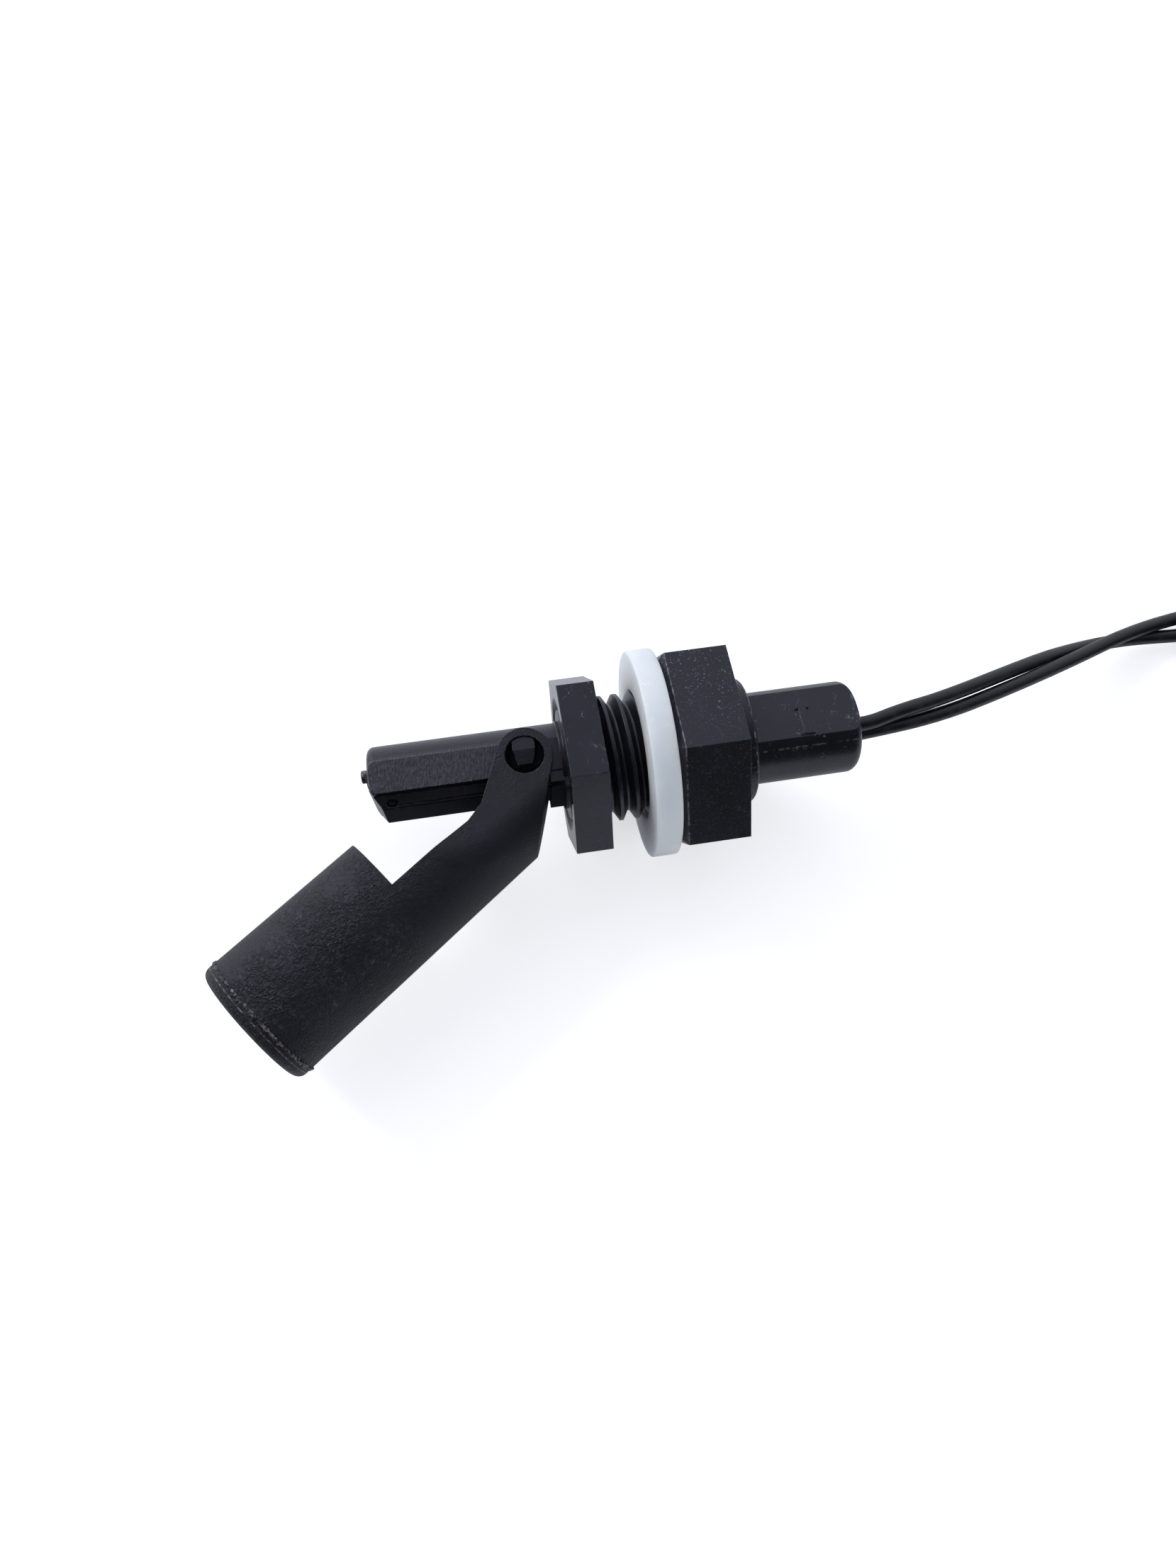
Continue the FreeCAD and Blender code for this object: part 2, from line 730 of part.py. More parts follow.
def float_end_cap():
    """The welded cap: a disc with a rounded rim and a plug that locates it in the float."""
    outer = float_radius("seam_place")
    inner = f"({outer} - wall - thread_gap)"
    edge = "cap_thick * 0.6"
    return turned(
        "float_end_cap",
        [
            ("-cap_thick", "0"),
            ("0", "0"),
            ("0", f"{inner} - wall"),
            ("cap_lip", f"{inner} - wall"),
            ("cap_lip", inner),
            ("0", inner),
            ("0", outer),
            (f"-cap_thick + {edge}", outer, edge),
            ("-cap_thick", f"{outer} - {edge}"),
        ],
        x="-seam_place",
        y="-float_offset",
    )


def drooped(things):
    """Turns the float's pieces from in line down to where they hang, about the hinge."""
    swing = number("swing")
    hinge = Vector(-number("hinge_place"), 0, 0)
    turn = Placement(hinge, Rotation(Vector(0, 0, 1), swing))
    return [moved(thing, turn) for thing in things]


def moved(thing, placement):
    """A linked copy of a piece in a place of its own."""
    name = thing.Name
    thing.Label = name + "_in_line"
    copy = doc.addObject("Part::Compound", name + "_placed")
    copy.Links = [thing]
    copy.Placement = placement
    copy.Label = name
    return copy


# ---------------------------------------------------------------- reed switch and potting


def reed_glass():
    """The glass capsule, hollow over the blades and closed round their leads at both ends."""
    seal, shoulder = "1.4", "0.8"
    length = "glass_start - glass_end"
    inside = "glass_radius - glass_wall"
    return turned(
        "reed_glass",
        [
            ("0", "blade_lead"),
            (seal, "blade_lead"),
            (f"{seal} + 0.5", inside),
            (f"{length} - {seal} - 0.5", inside),
            (f"{length} - {seal}", "blade_lead"),
            (length, "blade_lead"),
            (length, "glass_radius * 0.6"),
            (f"{length} - {shoulder}", "glass_radius"),
            (shoulder, "glass_radius"),
            ("0", "glass_radius * 0.6"),
        ],
        x="-glass_start",
        y="reed_height",
    )


def reed_blade(name, start, end, lead_start, lead_end, rise):
    """A flat contact blade and its round lead, one piece of wire pressed flat at one end."""
    strip = block(
        name + "_strip",
        (f"({end}) - ({start})", "blade_thick", "blade_width"),
        x=start,
        y=f"reed_height + ({rise}) - blade_thick / 2",
        z="-blade_width / 2",
    )
    length = f"({lead_end}) - ({lead_start})"
    lead = rod(name + "_lead", "blade_lead", length, lead_start, "reed_height")
    return fuse(name, strip, lead)


def reed_blades():
    """The near and the far blade, lapped with an open gap between them."""
    offset = "(blade_gap + blade_thick) / 2"
    inside = "2.2"
    near = reed_blade(
        "near_reed_blade",
        "-contact_place - contact_lap / 2",
        f"-glass_end - {inside} + 0.2",
        f"-glass_end - {inside}",
        "joint_start + 1",
        offset,
    )
    far = reed_blade(
        "far_reed_blade",
        f"-glass_start + {inside} - 0.2",
        "-contact_place + contact_lap / 2",
        "-glass_start - 0.9",
        f"-glass_start + {inside}",
        f"-{offset}",
    )
    return near, far


def return_wire():
    """The wire that brings the far blade's circuit back along the glass."""
    far_end = "glass_start + 0.9"
    length = f"{far_end} + joint_start + 1"
    return rod("return_wire", "return_radius", length, f"-({far_end})", "return_height")


def return_sleeve():
    """A thin insulating sleeve on the return wire."""
    start, length = "0.3 - glass_start", "glass_start + potting_start - 0.6"
    tube = rod("sleeve_tube", "sleeve_radius", length, start, "return_height")
    room = rod("sleeve_room", "return_radius", f"{length} + 2", f"{start} - 1", "return_height")
    return cut("return_sleeve", tube, room)


def solder_joints(near, far, wire):
    """Three beads of solder: far blade to return wire, and each circuit end to its lead."""
    far_bead = rod(
        "far_bead",
        "joint_radius * 0.75",
        "reed_height - return_height + joint_radius * 1.6",
        x="-glass_start - 0.65",
        y="return_height - joint_radius * 0.8",
        turn=Rotation(Vector(1, 0, 0), -90),
    )
    length = "lead_start - joint_start"
    near_bead = rod("lead_bead_a", "joint_radius", length, "joint_start", "lead_a_height + 0.05")
    return_bead = rod("lead_bead_b", "joint_radius", length, "joint_start", "lead_b_height - 0.05")
    return [
        cut("far_solder_joint", far_bead, far, wire),
        cut("solder_joint_a", near_bead, near),
        cut("solder_joint_b", return_bead, wire),
    ]


def potting_plug(*held):
    """Cast resin in the tail and the near end of the chamber, round everything that it holds."""
    narrow = rod("potting_narrow", "bore_radius", "cup_place - potting_start", x="potting_start")
    wide = rod("potting_wide", "cup_radius", "tail_end - potting_sink - cup_place", x="cup_place")
    return cut("potting_plug", fuse("potting_fill", narrow, wide), *held)


# ---------------------------------------------------------------- leads

# Each lead's route outside its coil, from its solder joint in the tail.
LEAD_A = [
    (14.0, 0.5, 0.0),
    (18.0, 0.45, 1.0),
    (25.5, -0.7, 1.07),
    (31.0, 0.75, 0.9),
    (37.5, 1.98, -0.04),
    (50.0, 5.85, -3.5),
    (56.0, 7.8, -6.05),
    (62.0, 9.25, -8.4),
    (67.0, 10.14, -10.04),
    (72.5, 10.65, -11.3),
    (82.0, 9.9, -12.03),
    (90.0, 12.3, -8.1),
]
LEAD_B = [
    (14.0, -1.45, 0.0),
    (18.0, -1.35, -0.9),
    (25.5, -1.0, -0.88),
    (36.5, -0.1, -0.9),
    (47.5, 3.0, -3.0),
    (58.5, 6.6, -5.7),
    (69.5, 10.6, -8.6),
    (79.5, 12.9, -11.0),
    (89.0, 12.6, -6.2),
]


def tube(name, points, radius):
    """A round tube along straight runs joined by tangent arcs, each as large as its runs allow."""
    points = [Vector(*p) for p in points]
    edges = []
    start = points[0]
    radii = []
    for before, corner, after in zip(points, points[1:], points[2:]):
        back, ahead = before - corner, after - corner
        turn = math.pi - back.getAngle(ahead)
        reach = 0.45 * min(back.Length, ahead.Length)
        first = corner + back.normalize() * reach
        last = corner + ahead.normalize() * reach
        inward = (back + ahead).normalize()
        arc_radius = reach / math.tan(turn / 2)
        sagitta = math.hypot(reach, arc_radius) - arc_radius
        edges.append(Part.LineSegment(start, first).toShape())
        edges.append(Part.Arc(first, corner + inward * sagitta, last).toShape())
        radii.append(arc_radius)
        start = last
    edges.append(Part.LineSegment(start, points[-1]).toShape())
    path = Part.Wire(edges)
    section = Part.Wire(Part.makeCircle(radius, points[0], points[1] - points[0]))
    shape = path.makePipeShell([section], True, False)
    share = shape.Volume / (math.pi * radius**2 * path.Length)
    smallest = min(radii) / (2 * radius)
    print(f"{name}: {path.Length:.1f} mm, least bend {smallest:.1f} diameters, volume share {share:.4f}")
    print("  bends " + ", ".join(f"{r:.1f}" for r in radii))
    return solid(name, shape)


def lead_coil():
    """The spare length of both leads, wound into one neat ring on the floor."""
    near = "coil_radius - coil_width / 2"
    far = "coil_radius + coil_width / 2"
    edge = "coil_width / 4"
    body = turned(
        "lead_coil",
        [
            ("0", f"{near} + {edge}"),
            ("0", f"{far} - {edge}", edge),
            (edge, far),
            (f"coil_height - {edge}", far, edge),
            ("coil_height", f"{far} - {edge}"),
            ("coil_height", f"{near} + {edge}", edge),
            (f"coil_height - {edge}", near),
            (edge, near, edge),
        ],
        turn=Rotation(Vector(0, 1, 0), -90),
        x="coil_x",
        y="coil_y",
        z="floor",
    )
    return body


def tinned_end(name, angle, height):
    """Bare tinned strands that leave the coil along its tangent, clockwise."""
    lane = "(coil_radius + coil_width / 3)"
    out = f"sqrt((coil_radius + coil_width / 2)^2 - {lane}^2) - tip_radius"
    turn = Rotation(Vector(0, 0, 1), number(angle) - 90) * ALONG_X
    return rod(
        name,
        "tip_radius",
        "tip_length",
        x=f"coil_x + {lane} * cos({angle}) + ({out}) * sin({angle})",
        y=f"coil_y + {lane} * sin({angle}) - ({out}) * cos({angle})",
        z=height,
        turn=turn,
    )


# ---------------------------------------------------------------- assembly

lead_a = tube("lead_wire_a", LEAD_A, number("lead_radius"))
lead_b = tube("lead_wire_b", LEAD_B, number("lead_radius"))
near_blade, far_blade = reed_blades()
wire = return_wire()
joints = solder_joints(near_blade, far_blade, wire)
plug = potting_plug(near_blade, wire, joints[1], joints[2], lead_a, lead_b)

parts = [
    switch_body(),
    lock_nut(),
    sealing_washer(),
    *drooped([float_shell(), float_end_cap(), float_magnet()]),
    reed_glass(),
    near_blade,
    far_blade,
    wire,
    return_sleeve(),
    *joints,
    plug,
    lead_a,
    lead_b,
    lead_coil(),
    tinned_end("tinned_end_a", "0", "floor + lead_radius"),
    tinned_end("tinned_end_b", "15", "floor + lead_radius"),
]

doc.recompute()
failed = [o.Name for o in doc.Objects if {"Invalid", "Error"} & set(o.State)]
if failed:
    raise RuntimeError(f"not built: {failed}")
for part in parts:
    if part.Shape.isNull() or not part.Shape.isValid() or len(part.Shape.Solids) != 1:
        raise RuntimeError(f"{part.Label} isn't one valid solid")
for part in parts:
    part.Shape.exportStep(f"parts/{part.Label}.step")
    box = part.Shape.BoundBox
    print(
        f"{part.Label}: {part.Shape.Volume:.1f} mm3,"
        f" x {box.XMin:.2f}..{box.XMax:.2f},"
        f" y {box.YMin:.2f}..{box.YMax:.2f},"
        f" z {box.ZMin:.2f}..{box.ZMax:.2f}"
    )
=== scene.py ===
"""Looks of the side-mounted float level switch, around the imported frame. Sizes are metres."""

import math

import bpy
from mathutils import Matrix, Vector


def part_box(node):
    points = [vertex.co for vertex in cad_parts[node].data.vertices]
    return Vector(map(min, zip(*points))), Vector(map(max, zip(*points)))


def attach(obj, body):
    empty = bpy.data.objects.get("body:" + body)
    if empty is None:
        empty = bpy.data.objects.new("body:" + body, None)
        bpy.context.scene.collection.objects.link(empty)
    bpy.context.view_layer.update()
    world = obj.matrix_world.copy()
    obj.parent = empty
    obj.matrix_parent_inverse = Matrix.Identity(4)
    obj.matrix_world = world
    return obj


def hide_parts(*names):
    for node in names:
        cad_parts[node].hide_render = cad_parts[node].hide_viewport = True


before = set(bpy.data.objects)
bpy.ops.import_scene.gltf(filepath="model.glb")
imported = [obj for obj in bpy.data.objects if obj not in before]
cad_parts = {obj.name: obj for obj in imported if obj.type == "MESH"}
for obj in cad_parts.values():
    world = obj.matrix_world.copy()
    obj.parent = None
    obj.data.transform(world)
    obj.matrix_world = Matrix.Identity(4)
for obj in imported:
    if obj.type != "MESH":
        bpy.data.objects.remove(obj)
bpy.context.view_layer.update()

MM = 0.001
scene = bpy.context.scene
bpy.ops.object.select_all(action="DESELECT")


# ---------------------------------------------------------------- camera

camera_data = bpy.data.cameras.new("camera")
camera_data.sensor_width = 36
camera_data.lens = 26.456
camera = bpy.data.objects.new("camera", camera_data)
camera.location = (-0.02237, -0.04304, 0.13677)
camera.rotation_euler = [math.radians(angle) for angle in (16.889, -2.554, -9.016)]
scene.collection.objects.link(camera)
scene.camera = camera


# ---------------------------------------------------------------- leads

LEAD_RADIUS = 0.95 * MM
TIP_LENGTH = 6 * MM
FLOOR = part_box("sealing_washer")[0][2]
COIL_CENTRE = sum((Vector(corner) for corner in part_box("lead_coil")), Vector()) / 2
COIL_RADIUS = 9.5 * MM
STEPS_PER_TURN = 16
LANE_PITCH = 2.06 * LEAD_RADIUS
LANE_CHANGE = 0.3  # the last part of a turn, in which a lead moves into its next lane

# The way of each lead from the potting to the coil, in millimetres.
LEAD_A = [
    (14.0, 0.5, 0.0),
    (18.0, 0.45, 1.0),
    (25.5, -0.7, 1.07),
    (31.0, 0.75, 0.9),
    (37.5, 1.98, -0.04),
    (50.0, 5.85, -3.5),
    (56.0, 7.8, -6.05),
    (62.0, 9.25, -8.4),
    (67.0, 10.14, -10.04),
    (72.5, 10.65, -11.3),
    (82.0, 9.9, -11.2),
    (90.0, 12.3, -6.2),
]
LEAD_B = [
    (14.0, -1.45, 0.0),
    (18.0, -1.35, -0.9),
    (25.5, -1.0, -0.88),
    (36.5, -0.1, -0.9),
    (47.5, 3.0, -3.0),
    (58.5, 6.6, -5.7),
    (69.5, 10.6, -8.6),
    (79.5, 12.9, -11.0),
    (89.0, 12.6, -8.1),
]

# The lane of each turn in the coil: places outwards from the middle lane, and places up.
LANES_A = [(1, 3), (0, 3), (-1, 3), (-1, 1), (0, 1), (1, 1)]
LANES_B = [(1, 2), (0, 2), (-1, 2), (-1, 0), (0, 0), (1, 0)]


def coil_turns(start, end, lanes):
    """Points of a lead's turns, clockwise between two angles, with each turn in its own lane."""
    sweep = start - end + 360 * (len(lanes) - 1)
    steps = round(sweep / 360 * STEPS_PER_TURN)
    points = []
    for step in range(2, steps + 1):
        swept = sweep * step / steps
        lap = min(int(swept / 360), len(lanes) - 1)
        change = min(max((swept / 360 - lap - (1 - LANE_CHANGE)) / LANE_CHANGE, 0), 1)
        here, ahead = Vector(lanes[lap]), Vector(lanes[min(lap + 1, len(lanes) - 1)])
        across, up = here.lerp(ahead, change)
        angle = math.radians(start - swept)
        outwards = Vector((math.cos(angle), math.sin(angle), 0))
        spot = COIL_CENTRE + outwards * (COIL_RADIUS + across * LANE_PITCH)
        spot.z = FLOOR + LEAD_RADIUS + up * LANE_PITCH
        points.append(spot)
    return points


def lead(name, route, start, end, lanes, tip):
    """A limp lead: out of the potting, down to the floor, round its coil and into its bare end."""
    low, high = (Vector(corner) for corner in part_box(tip))
    middle = (low + high) / 2
    heading = Vector((math.sin(math.radians(end)), -math.cos(math.radians(end)), 0))
    join = middle - heading * TIP_LENGTH / 2
    points = [Vector(p) * MM for p in route] + coil_turns(start, end, lanes)
    points += [join - heading * TIP_LENGTH / 2, join]
    curve = bpy.data.curves.new(name, "CURVE")
    curve.dimensions = "3D"
    # The bounds of a curve grow by its points' radius, so that holds the lead's thickness.
    curve.bevel_depth = 1
    curve.bevel_resolution = 5
    curve.resolution_u = 6
    curve.use_fill_caps = True
    spline = curve.splines.new("NURBS")
    spline.points.add(len(points) - 1)
    for spot, point in zip(spline.points, points):
        spot.co = (*point, 1)
        spot.radius = LEAD_RADIUS
    spline.order_u = 3
    spline.use_endpoint_u = True
    piece = bpy.data.objects.new(name, curve)
    scene.collection.objects.link(piece)
    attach(piece, "housing")
    return piece


lead_a = lead("lead_a", LEAD_A, start=108, end=12, lanes=LANES_A, tip="tinned_end_a")
lead_b = lead("lead_b", LEAD_B, start=112, end=15, lanes=LANES_B, tip="tinned_end_b")
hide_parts("lead_wire_a", "lead_coil")
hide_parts("lead_wire_b")


# ---------------------------------------------------------------- shader maths


class Value:
    """A shader socket that takes part in sums as a number does."""

    def __init__(self, tree, socket):
        self.tree = tree
        self.socket = socket

    def math(self, operation, *parts, clamp=False):
        """A Math node on all its parts."""
        settings = {"operation": operation, "use_clamp": clamp}
        return add_node(self.tree, "Math", settings, dict(enumerate(parts)))

    def __add__(self, other):
        return self.math("ADD", self, other)

    def __sub__(self, other):
        return self.math("SUBTRACT", self, other)

    def __rsub__(self, other):
        return self.math("SUBTRACT", other, self)

    def __mul__(self, other):
        return self.math("MULTIPLY", self, other)

    def __pow__(self, other):
        return self.math("POWER", self, other)

    __radd__ = __add__
    __rmul__ = __mul__

    def near(self, middle, reach):
        """1 at the middle value, down to 0 at the reach on both sides of it."""
        gap = self - middle
        return 1 - gap.math("ABSOLUTE", gap).over(0, reach)

    def over(self, low, high):
        """0 below the low value, 1 above the high one, and smooth between."""
        settings = {"interpolation_type": "SMOOTHSTEP"}
        sockets = {"Value": self, "From Min": low, "From Max": high}
        return add_node(self.tree, "MapRange", settings, sockets, output="Result")


def feed(tree, slot, part):
    """Links a value to a socket, or sets the socket."""
    if isinstance(part, Value):
        tree.links.new(part.socket, slot)
    elif slot.type == "RGBA" and len(part) == 3:
        slot.default_value = (*part, 1)
    else:
        slot.default_value = part


def add_node(tree, kind, settings, sockets, output=0):
    """A node by its type, its settings, and its sockets' values or links.

    A socket goes by its name, or by its number where a name is there twice.
    """
    node = tree.nodes.new("ShaderNode" + kind)
    for name, value in settings.items():
        setattr(node, name, value)
    for socket, value in sockets.items():
        feed(tree, node.inputs[socket], value)
    return Value(tree, node.outputs[output])


# The colour sockets of a Mix node, by number.
MIX_FACTOR, MIX_LOW, MIX_HIGH, MIX_RESULT = 0, 6, 7, 2


class Finish:
    """A surface's material, with its Principled shader, or another tree of nodes."""

    def __init__(self, name, tree=None):
        if tree is None:
            self.material = bpy.data.materials.new(name)
            self.material.use_nodes = True
            tree = self.material.node_tree
            self.shader = tree.nodes["Principled BSDF"]
        self.tree = tree

    def node(self, kind, settings=None, output=0, **inputs):
        """A node whose sockets go by name; a _ stands for a space."""
        sockets = {name.replace("_", " "): value for name, value in inputs.items()}
        return add_node(self.tree, kind, settings or {}, sockets, output)

    def set(self, **sockets):
        """Feeds sockets of the Principled shader; a _ stands for a space."""
        for name, value in sockets.items():
            feed(self.tree, self.shader.inputs[name.replace("_", " ")], value)

    def place(self, stretch=(1, 1, 1)):
        """Object coordinates, stretched."""
        where = self.node("TexCoord", output="Object")
        if stretch == (1, 1, 1):
            return where
        return self.node("Mapping", Vector=where, Scale=stretch)

    def axes(self):
        """X, Y and Z of the object's own coordinates."""
        split = self.node("SeparateXYZ", Vector=self.place())
        return [Value(self.tree, split.socket.node.outputs[axis]) for axis in "XYZ"]

    def grain(self, size, detail=3, where=None, rough=0.5, curl=0.0):
        """Soft noise with features of a size in metres, from 0 to 1."""
        return self.node(
            "TexNoise",
            Vector=where or self.place(),
            Scale=1 / size,
            Detail=detail,
            Roughness=rough,
            Distortion=curl,
        )

    def scratches(self, size, width):
        """Short curved scratches: stretches of the noise's contour lines."""
        lines = self.grain(size, detail=1, curl=0.6).near(0.5, width)
        return lines * self.grain(size * 1.4, detail=2).over(0.54, 0.64)

    def blend(self, mask, low, high):
        """One colour where the mask is 0 and the other where it is 1."""
        sockets = {MIX_FACTOR: mask, MIX_LOW: low, MIX_HIGH: high}
        return add_node(self.tree, "Mix", {"data_type": "RGBA"}, sockets, MIX_RESULT)

    def edges(self, radius):
        """The rounded normal, and a mask of the edges that it rounds."""
        rounded = self.node("Bevel", {"samples": 8}, Radius=radius)
        flat = self.node("NewGeometry", output="Normal")
        dot = {"operation": "DOT_PRODUCT"}
        same = add_node(self.tree, "VectorMath", dot, {0: rounded, 1: flat}, output="Value")
        return rounded, (1 - same).over(0.004, 0.12)

    def bump(self, height, depth, normal=None):
        """The normal of a relief, over another normal where one is given."""
        sockets = {"Height": height, "Distance": depth}
        if normal:
            sockets["Normal"] = normal
        return self.node("Bump", **sockets)


# ---------------------------------------------------------------- finishes

BLACK = (0.0045, 0.0045, 0.0068)
# The lighter colour for real wear and for painted highlights alike.
WEAR_AND_HIGHLIGHT = (0.17, 0.17, 0.2)
LILAC = (0.85, 0.87, 1.0)

HINGE_STATION = -17.3 * MM

# Spans over which one surface gives way to the next: stations along the axis,
STEM_END = (-15.6 * MM, -15.2 * MM)
KEEL_END = (-13.0 * MM, -12.8 * MM)
THREAD_END = (-0.3 * MM, 0.0)
FLANGE_START = (-0.1 * MM, 0.1 * MM)
TAIL_START = (9.0 * MM, 9.4 * MM)
TAIL_RIM = (23.7 * MM, 24.3 * MM)
# radii about it, and about the hinge,
KEEL_SIDE = (6.5 * MM, 6.6 * MM)
THREAD_CREST = (7.92 * MM, 7.985 * MM)
PAST_THREAD = (8.02 * MM, 8.06 * MM)
PEG_SIDE = (2.3 * MM, 2.36 * MM)
# heights above it, and places to its side.
STEM_FLAT = (4.6 * MM, 4.8 * MM)
PAST_STEM_FLAT = (5.0 * MM, 5.05 * MM)
PEG_END = (4.9 * MM, 5.0 * MM)
PAST_PEG_END = (5.5 * MM, 5.55 * MM)
TAIL_UPPER_SIDE = (4 * MM, 4.6 * MM)
TAIL_FLAT = (4.35 * MM, 4.6 * MM)
LOW_SIDE = (-3.5 * MM, -3.3 * MM)

# Painted highlight lines along two edges.
FLANGE_CHAMFER = 0.8 * MM
TAIL_FLAT_EDGE = -3.37 * MM
LINE_REACH = 0.16 * MM


def black_skin(f, wear_and_highlights, roughness, height, depth, rounding, ior=1.5):
    """Near-black moulded plastic, from its marks' mask, its roughness and its relief, with painted
    highlights on its edges.
    """
    rounded, edge = f.edges(rounding)
    # Painted highlights: the edges that the bevel rounds are lightened, broken up by noise.
    edge_highlights = edge * f.grain(0.5 * MM, detail=4).over(0.42, 0.66)
    cloud = f.grain(5 * MM, detail=2).over(0.3, 0.7)
    tone = f.blend(cloud, BLACK, [c * 1.5 for c in BLACK])
    f.set(
        Base_Color=f.blend(wear_and_highlights.math("ADD", wear_and_highlights, edge_highlights * 0.5, clamp=True), tone, WEAR_AND_HIGHLIGHT),
        Roughness=roughness - edge * 0.08,
        IOR=ior,
        Specular_Tint=(*LILAC, 1),
        Normal=f.bump(height, depth, rounded),
    )
    return f.material


def body_black():
    """The moulding: each length of it has its own wear, with painted highlights on two edges and
    on the flange's specks, and painted shade in the peg's pit and under the keel.
    """
    f = Finish("body_black")
    x, y, z = f.axes()
    radius = (y * y + z * z) ** 0.5
    tail = x.over(*TAIL_START)
    flange = x.over(*FLANGE_START) * (1 - tail)
    stem = 1 - x.over(*STEM_END)
    thread = (1 - stem) * (1 - x.over(*THREAD_END)) * (1 - radius.over(*PAST_THREAD))
    facet = z.over(*STEM_FLAT) * (1 - z.over(*PAST_STEM_FLAT))

    skin = f.grain(0.3 * MM, detail=4, rough=0.6)
    # The flange's specks are real, but painting them brighter on the lit upper side and faint on
    # the shaded side is a painted highlight.
    lit_side = (y + x * 0.6).over(-1 * MM, 9 * MM)
    specks = f.grain(0.26 * MM, detail=2, rough=0.7).over(0.62, 0.66)
    specks = specks * flange * (lit_side * 0.9 + 0.12)
    ticks = f.scratches(1.0 * MM, 0.025)
    ticks = ticks * (tail * (0.3 + z.over(*TAIL_UPPER_SIDE) * 0.7) + 0.15)
    strokes = f.grain(0.22 * MM, detail=4, rough=0.65, where=f.place(stretch=(1, 0.3, 0.5)))
    wrinkles = strokes * stem * facet
    crest = thread * radius.over(*THREAD_CREST)
    # Painted highlights: a broken light line along the flange's chamfer, and another along the
    # tail flat's edge.
    chamfer_highlight = flange * x.near(FLANGE_CHAMFER, LINE_REACH)
    chamfer_highlight = chamfer_highlight * f.grain(0.8 * MM, detail=4).over(0.4, 0.62)
    flat_edge_highlight = tail * z.over(*TAIL_FLAT) * y.near(TAIL_FLAT_EDGE, LINE_REACH)
    flat_edge_highlight = flat_edge_highlight * f.grain(0.7 * MM).over(0.42, 0.6)
    rim = tail * x.over(*TAIL_RIM) * f.grain(0.5 * MM, detail=3).over(0.5, 0.62)
    # Real wear and scratches, together with painted highlights on the chamfer, the tail flat's
    # edge and the specks.
    wear_and_highlights = specks * 0.8 + ticks * 0.4 + wrinkles.over(0.42, 0.66) * 0.13 + crest * 0.55
    wear_and_highlights = wear_and_highlights + rim * 0.5 + chamfer_highlight * 0.7 + flat_edge_highlight * 0.25

    along = x - HINGE_STATION
    from_hinge = (along * along + y * y) ** 0.5
    pit_shade = (1 - from_hinge.over(*PEG_SIDE)) * z.over(*PEG_END) * (1 - z.over(*PAST_PEG_END))
    under = 1 - y.over(*LOW_SIDE)
    keel_shade = (1 - x.over(*KEEL_END)) * (1 - radius.over(*KEEL_SIDE)) * under
    # Painted shade: the peg's pit and the keel's underside are made a near-black metal that
    # mirrors almost nothing, so they stay dark; they are duller too.
    f.set(Metallic=pit_shade.over(0.1, 0.9) + keel_shade * 0.75)
    height = skin * 0.35 + wrinkles * 1.6 + specks * 0.9 - ticks * 0.8
    dull = skin * 0.12 + wrinkles * 0.15 + keel_shade * 0.5 + pit_shade * 0.4
    return black_skin(f, wear_and_highlights, 0.24 + dull, height, 0.05 * MM, 0.1 * MM)


def nut_black():
    """The nut: the same plastic from a polished mould, with a few bright scratches."""
    f = Finish("nut_black")
    skin = f.grain(0.5 * MM, detail=3)
    ticks = f.scratches(1.2 * MM, 0.02)
    relief = skin * 0.15 - ticks * 0.5
    return black_skin(f, ticks * 0.35, 0.12 + skin * 0.08, relief, 0.03 * MM, 0.14 * MM)


def float_black():
    """The float: leathery skin, finer and calmer on the arm and ears than on the round body."""
    f = Finish("float_black")
    leather = f.grain(0.5 * MM, detail=2, rough=0.55, curl=1.4)
    fine = f.grain(0.12 * MM, detail=2)
    x = f.axes()[0]
    body = 1 - x.over(-38 * MM, -28 * MM)
    patch = f.grain(4 * MM, detail=2).over(0.35, 0.65)
    depth = (body * 0.8 + 0.2) * (patch * 0.6 + 0.4)
    crests = leather.over(0.56, 0.68) * body * patch
    height = leather * depth + fine * 0.12
    roughness = 0.46 + fine * 0.1
    return black_skin(f, crests * 0.17, roughness, height, 0.5 * MM, 0.12 * MM, ior=1.43)


def flash_black():
    """Weld flash and moulding flash: thin, rough and lighter than the wall."""
    f = Finish("flash_black")
    pale = f.grain(0.5 * MM, detail=4).over(0.45, 0.68)
    f.set(
        Base_Color=f.blend(pale, (0.012, 0.012, 0.014), (0.17, 0.15, 0.16)),
        Roughness=0.45 + pale * 0.2,
        Specular_Tint=(*LILAC, 1),
        Normal=f.bump(f.grain(0.15 * MM, detail=3), 0.05 * MM),
    )
    return f.material


